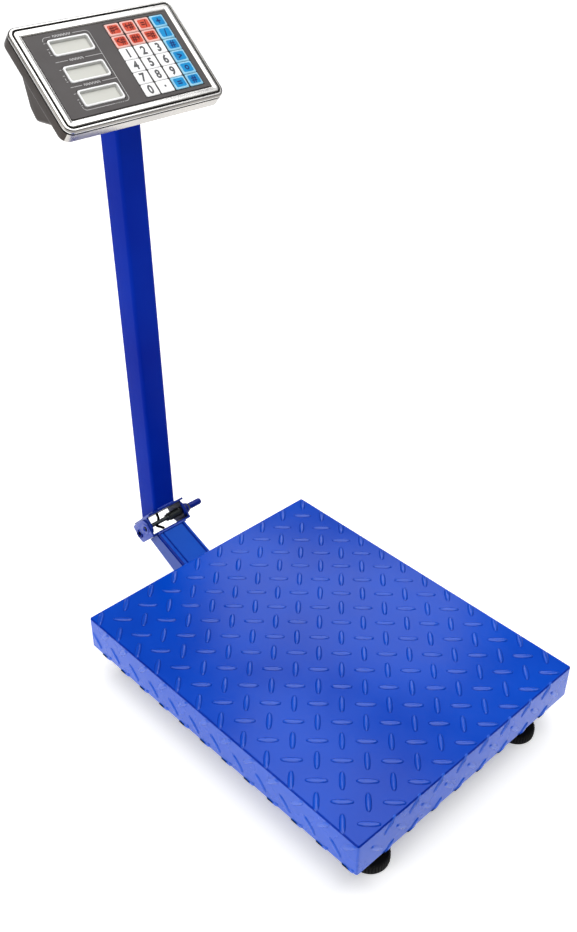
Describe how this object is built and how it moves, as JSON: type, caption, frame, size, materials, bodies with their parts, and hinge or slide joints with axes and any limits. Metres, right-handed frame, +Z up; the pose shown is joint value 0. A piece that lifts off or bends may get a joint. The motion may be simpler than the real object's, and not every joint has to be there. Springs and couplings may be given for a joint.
{
  "type": "platform shipping scale",
  "caption": "Floor scale with a tread-plate platform on levelling feet, a folding rear column and a tilted head with displays and a keypad.",
  "frame": {"origin": "middle of the footprint on the floor, at rest", "axes": "+X to the right of a person reading the head, +Y from the platform towards the column, +Z up"},
  "size_m": [0.4, 0.6808, 0.8198],
  "materials": {
    "blue_paint": "glossy powder coat",
    "dark_paint": "satin powder coat",
    "stainless": "polished sheet",
    "zinc_plate": "bright zinc",
    "spring_steel": "oiled wire",
    "aluminium": "satin anodised",
    "foot": "moulded, knurled rim",
    "black_plastic": "fine moulded texture",
    "panel_film": "printed polyester film",
    "display_frame": "white moulded frame, pale grey-green screen",
    "key_white": "embossed film, dark digits",
    "key_red": "embossed film, pale border",
    "key_blue": "embossed film, pale border",
    "circuit_board": "solder mask",
    "battery_case": "moulded case",
    "cable_sheath": "smooth sheath"
  },
  "bodies": {
    "base": {"platform_cover": "blue_paint", "upper_frame": "dark_paint", "load_cell": "aluminium", "cell_spacer_upper": "zinc_plate", "cell_spacer_lower": "zinc_plate", "base_frame": "dark_paint", "support_arm": "blue_paint", "hinge_bracket": "blue_paint", "pivot_bush_left": "zinc_plate", "pivot_bush_right": "zinc_plate", "signal_cable_base": "cable_sheath", "signal_cable_loop": "cable_sheath", "latch_spring": "spring_steel"},
    "column": {"column_bracket": "blue_paint", "column_tube": "blue_paint", "signal_cable_column": "cable_sheath", "head_front_cover": "stainless", "head_rear_shell": "stainless", "face_panel": "panel_film", "weight_display": "display_frame", "unit_weight_display": "display_frame", "count_display": "display_frame", "circuit_board": "circuit_board", "battery": "battery_case", "head_bracket": "zinc_plate", "switch_housing": "black_plastic", "charging_inlet": "black_plastic"},
    "latch": {"latch_rod": "zinc_plate", "latch_plate": "zinc_plate", "release_handle": "blue_paint"},
    "power_switch": {"power_switch": "black_plastic"},
    "levelling_foot_front_left": {"levelling_foot_front_left": "foot"},
    "levelling_foot_front_right": {"levelling_foot_front_right": "foot"},
    "levelling_foot_rear_left": {"levelling_foot_rear_left": "foot"},
    "levelling_foot_rear_right": {"levelling_foot_rear_right": "foot"},
    "key_row1_column1": {"key_row1_column1": "key_red"},
    "key_row1_column2": {"key_row1_column2": "key_red"},
    "key_row1_column3": {"key_row1_column3": "key_red"},
    "key_row1_column4": {"key_row1_column4": "key_blue"},
    "key_row2_column1": {"key_row2_column1": "key_red"},
    "key_row2_column2": {"key_row2_column2": "key_red"},
    "key_row2_column3": {"key_row2_column3": "key_red"},
    "key_row2_column4": {"key_row2_column4": "key_blue"},
    "key_row3_column1": {"key_row3_column1": "key_white"},
    "key_row3_column2": {"key_row3_column2": "key_white"},
    "key_row3_column3": {"key_row3_column3": "key_white"},
    "key_row3_column4": {"key_row3_column4": "key_blue"},
    "key_row4_column1": {"key_row4_column1": "key_white"},
    "key_row4_column2": {"key_row4_column2": "key_white"},
    "key_row4_column3": {"key_row4_column3": "key_white"},
    "key_row4_column4": {"key_row4_column4": "key_blue"},
    "key_row5_column1": {"key_row5_column1": "key_white"},
    "key_row5_column2": {"key_row5_column2": "key_white"},
    "key_row5_column3": {"key_row5_column3": "key_white"},
    "key_row5_column4": {"key_row5_column4": "key_blue"},
    "key_row6_column1": {"key_row6_column1": "key_white"},
    "key_row6_column2": {"key_row6_column2": "key_white"},
    "key_row6_column3": {"key_row6_column3": "key_blue"},
    "key_row6_column4": {"key_row6_column4": "key_blue"}
  },
  "joints": [
    {"name": "column_fold", "type": "hinge", "parent": "base", "child": "column", "pos_m": [0, 0.24756, 0.116], "axis": [1, 0, 0], "range_deg": [0, 92.17], "deforming": ["signal_cable_loop"]},
    {"name": "latch_slide", "type": "slide", "parent": "base", "child": "latch", "axis": [1, 0, 0], "range_m": [0, 0.008], "stiffness_N_per_m": 600, "springref_m": -0.008, "deforming": ["latch_spring"]},
    {"name": "levelling_foot_front_left_turn", "type": "hinge", "parent": "base", "child": "levelling_foot_front_left", "pos_m": [-0.142, -0.30944, 0.03], "axis": [0, 0, 1], "continuous": true},
    {"name": "levelling_foot_front_right_turn", "type": "hinge", "parent": "base", "child": "levelling_foot_front_right", "pos_m": [0.142, -0.30944, 0.03], "axis": [0, 0, 1], "continuous": true},
    {"name": "levelling_foot_rear_left_turn", "type": "hinge", "parent": "base", "child": "levelling_foot_rear_left", "pos_m": [-0.142, 0.12856, 0.03], "axis": [0, 0, 1], "continuous": true},
    {"name": "levelling_foot_rear_right_turn", "type": "hinge", "parent": "base", "child": "levelling_foot_rear_right", "pos_m": [0.142, 0.12856, 0.03], "axis": [0, 0, 1], "continuous": true},
    {"name": "power_switch_rock", "type": "hinge", "parent": "column", "child": "power_switch", "pos_m": [0.046, 0.27669, 0.72239], "axis": [1, 0, 0], "range_deg": [0, 16]},
    {"name": "key_row1_column1_press", "type": "slide", "parent": "column", "child": "key_row1_column1", "axis": [0, 0.6538, -0.7567], "range_m": [0, 0.0006], "stiffness_N_per_m": 500, "springref_m": -0.0006},
    {"name": "key_row1_column2_press", "type": "slide", "parent": "column", "child": "key_row1_column2", "axis": [0, 0.6538, -0.7567], "range_m": [0, 0.0006], "stiffness_N_per_m": 500, "springref_m": -0.0006},
    {"name": "key_row1_column3_press", "type": "slide", "parent": "column", "child": "key_row1_column3", "axis": [0, 0.6538, -0.7567], "range_m": [0, 0.0006], "stiffness_N_per_m": 500, "springref_m": -0.0006},
    {"name": "key_row1_column4_press", "type": "slide", "parent": "column", "child": "key_row1_column4", "axis": [0, 0.6538, -0.7567], "range_m": [0, 0.0006], "stiffness_N_per_m": 500, "springref_m": -0.0006},
    {"name": "key_row2_column1_press", "type": "slide", "parent": "column", "child": "key_row2_column1", "axis": [0, 0.6538, -0.7567], "range_m": [0, 0.0006], "stiffness_N_per_m": 500, "springref_m": -0.0006},
    {"name": "key_row2_column2_press", "type": "slide", "parent": "column", "child": "key_row2_column2", "axis": [0, 0.6538, -0.7567], "range_m": [0, 0.0006], "stiffness_N_per_m": 500, "springref_m": -0.0006},
    {"name": "key_row2_column3_press", "type": "slide", "parent": "column", "child": "key_row2_column3", "axis": [0, 0.6538, -0.7567], "range_m": [0, 0.0006], "stiffness_N_per_m": 500, "springref_m": -0.0006},
    {"name": "key_row2_column4_press", "type": "slide", "parent": "column", "child": "key_row2_column4", "axis": [0, 0.6538, -0.7567], "range_m": [0, 0.0006], "stiffness_N_per_m": 500, "springref_m": -0.0006},
    {"name": "key_row3_column1_press", "type": "slide", "parent": "column", "child": "key_row3_column1", "axis": [0, 0.6538, -0.7567], "range_m": [0, 0.0006], "stiffness_N_per_m": 500, "springref_m": -0.0006},
    {"name": "key_row3_column2_press", "type": "slide", "parent": "column", "child": "key_row3_column2", "axis": [0, 0.6538, -0.7567], "range_m": [0, 0.0006], "stiffness_N_per_m": 500, "springref_m": -0.0006},
    {"name": "key_row3_column3_press", "type": "slide", "parent": "column", "child": "key_row3_column3", "axis": [0, 0.6538, -0.7567], "range_m": [0, 0.0006], "stiffness_N_per_m": 500, "springref_m": -0.0006},
    {"name": "key_row3_column4_press", "type": "slide", "parent": "column", "child": "key_row3_column4", "axis": [0, 0.6538, -0.7567], "range_m": [0, 0.0006], "stiffness_N_per_m": 500, "springref_m": -0.0006},
    {"name": "key_row4_column1_press", "type": "slide", "parent": "column", "child": "key_row4_column1", "axis": [0, 0.6538, -0.7567], "range_m": [0, 0.0006], "stiffness_N_per_m": 500, "springref_m": -0.0006},
    {"name": "key_row4_column2_press", "type": "slide", "parent": "column", "child": "key_row4_column2", "axis": [0, 0.6538, -0.7567], "range_m": [0, 0.0006], "stiffness_N_per_m": 500, "springref_m": -0.0006},
    {"name": "key_row4_column3_press", "type": "slide", "parent": "column", "child": "key_row4_column3", "axis": [0, 0.6538, -0.7567], "range_m": [0, 0.0006], "stiffness_N_per_m": 500, "springref_m": -0.0006},
    {"name": "key_row4_column4_press", "type": "slide", "parent": "column", "child": "key_row4_column4", "axis": [0, 0.6538, -0.7567], "range_m": [0, 0.0006], "stiffness_N_per_m": 500, "springref_m": -0.0006},
    {"name": "key_row5_column1_press", "type": "slide", "parent": "column", "child": "key_row5_column1", "axis": [0, 0.6538, -0.7567], "range_m": [0, 0.0006], "stiffness_N_per_m": 500, "springref_m": -0.0006},
    {"name": "key_row5_column2_press", "type": "slide", "parent": "column", "child": "key_row5_column2", "axis": [0, 0.6538, -0.7567], "range_m": [0, 0.0006], "stiffness_N_per_m": 500, "springref_m": -0.0006},
    {"name": "key_row5_column3_press", "type": "slide", "parent": "column", "child": "key_row5_column3", "axis": [0, 0.6538, -0.7567], "range_m": [0, 0.0006], "stiffness_N_per_m": 500, "springref_m": -0.0006},
    {"name": "key_row5_column4_press", "type": "slide", "parent": "column", "child": "key_row5_column4", "axis": [0, 0.6538, -0.7567], "range_m": [0, 0.0006], "stiffness_N_per_m": 500, "springref_m": -0.0006},
    {"name": "key_row6_column1_press", "type": "slide", "parent": "column", "child": "key_row6_column1", "axis": [0, 0.6538, -0.7567], "range_m": [0, 0.0006], "stiffness_N_per_m": 500, "springref_m": -0.0006},
    {"name": "key_row6_column2_press", "type": "slide", "parent": "column", "child": "key_row6_column2", "axis": [0, 0.6538, -0.7567], "range_m": [0, 0.0006], "stiffness_N_per_m": 500, "springref_m": -0.0006},
    {"name": "key_row6_column3_press", "type": "slide", "parent": "column", "child": "key_row6_column3", "axis": [0, 0.6538, -0.7567], "range_m": [0, 0.0006], "stiffness_N_per_m": 500, "springref_m": -0.0006},
    {"name": "key_row6_column4_press", "type": "slide", "parent": "column", "child": "key_row6_column4", "axis": [0, 0.6538, -0.7567], "range_m": [0, 0.0006], "stiffness_N_per_m": 500, "springref_m": -0.0006}
  ]
}
